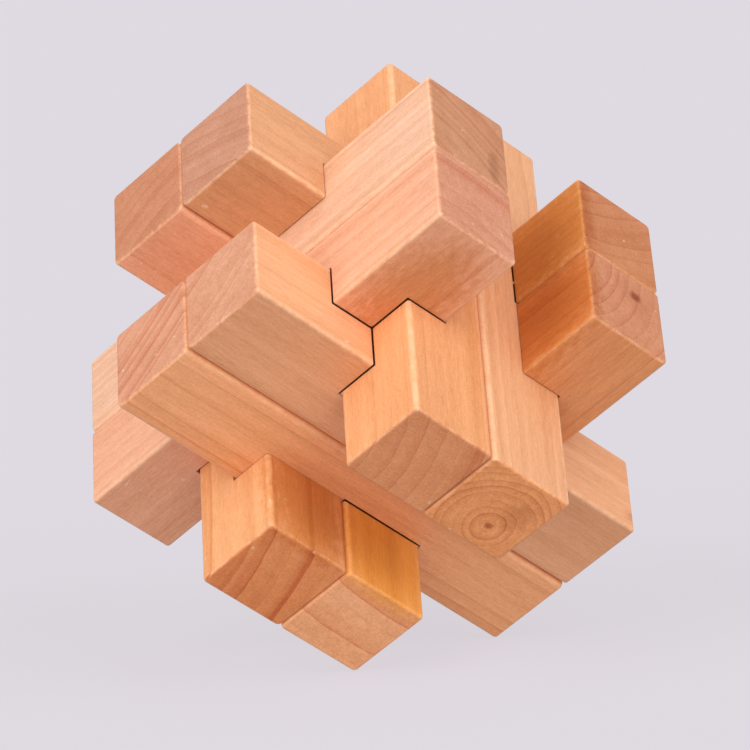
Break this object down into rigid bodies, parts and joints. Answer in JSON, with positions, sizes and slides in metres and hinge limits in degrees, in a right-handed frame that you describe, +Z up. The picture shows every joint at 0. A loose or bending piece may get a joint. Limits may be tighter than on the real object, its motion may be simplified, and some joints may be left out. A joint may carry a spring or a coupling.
{
  "type": "wooden burr puzzle",
  "caption": "Interlocking wooden burr puzzle of identical square notched sticks in crossed pairs along three directions, resting on three corners.",
  "frame": {"origin": "centre of the puzzle's footprint, on the table that its three lowest corners rest on", "axes": "+Z up, along the puzzle's three-fold axis. The uprights slope up and to the back, with their lower ends to the front (-Y). The rails' raised ends are to the right and front, the crossbars' raised ends to the left and front. Names use the puzzle's own directions: uprights from bottom to top, rails from front to back, crossbars from left to right."},
  "size_m": [0.0906, 0.0977, 0.092],
  "materials": {
    "warm_wood": "clear satin lacquer",
    "pale_wood": "clear satin lacquer",
    "pink_wood": "clear satin lacquer",
    "amber_wood": "clear satin lacquer"
  },
  "bodies": {
    "bottom_back_pair": {"crossbar_bottom_back": "pink_wood", "upright_back_left": "warm_wood"},
    "bottom_front_pair": {"crossbar_bottom_front": "warm_wood", "upright_front_right": "pale_wood"},
    "lower_left_rail": {"rail_left_lower": "pink_wood"},
    "lower_right_rail": {"rail_right_lower": "pink_wood"},
    "upper_right_rail": {"rail_right_upper": "amber_wood"},
    "upper_left_rail": {"rail_left_upper": "pale_wood"},
    "top_back_pair": {"crossbar_top_back": "pink_wood", "upright_back_right": "amber_wood"},
    "top_front_pair": {"crossbar_top_front": "amber_wood", "upright_front_left": "warm_wood"}
  },
  "joints": [
    {"name": "bottom_front_pair_slide", "type": "slide", "parent": "bottom_back_pair", "child": "bottom_front_pair", "axis": [0, 0.8165, 0.5774], "range_m": [0, 0.082]},
    {"name": "lower_left_rail_slide", "type": "slide", "parent": "bottom_front_pair", "child": "lower_left_rail", "axis": [0, 0.8165, 0.5774], "range_m": [0, 0.058]},
    {"name": "lower_right_rail_slide", "type": "slide", "parent": "lower_left_rail", "child": "lower_right_rail", "axis": [0, 0.8165, 0.5774], "range_m": [0, 0.058]},
    {"name": "upper_right_rail_slide", "type": "slide", "parent": "lower_right_rail", "child": "upper_right_rail", "axis": [0, 0.8165, 0.5774], "range_m": [0, 0.042]},
    {"name": "upper_left_rail_slide", "type": "slide", "parent": "upper_right_rail", "child": "upper_left_rail", "axis": [0, 0.8165, 0.5774], "range_m": [0, 0.042]},
    {"name": "top_back_pair_slide", "type": "slide", "parent": "upper_left_rail", "child": "top_back_pair", "axis": [0, 0.8165, 0.5774], "range_m": [0, 0.082]},
    {"name": "top_front_pair_slide", "type": "slide", "parent": "upper_left_rail", "child": "top_front_pair", "axis": [0, 0.8165, 0.5774], "range_m": [0, 0.082]}
  ]
}
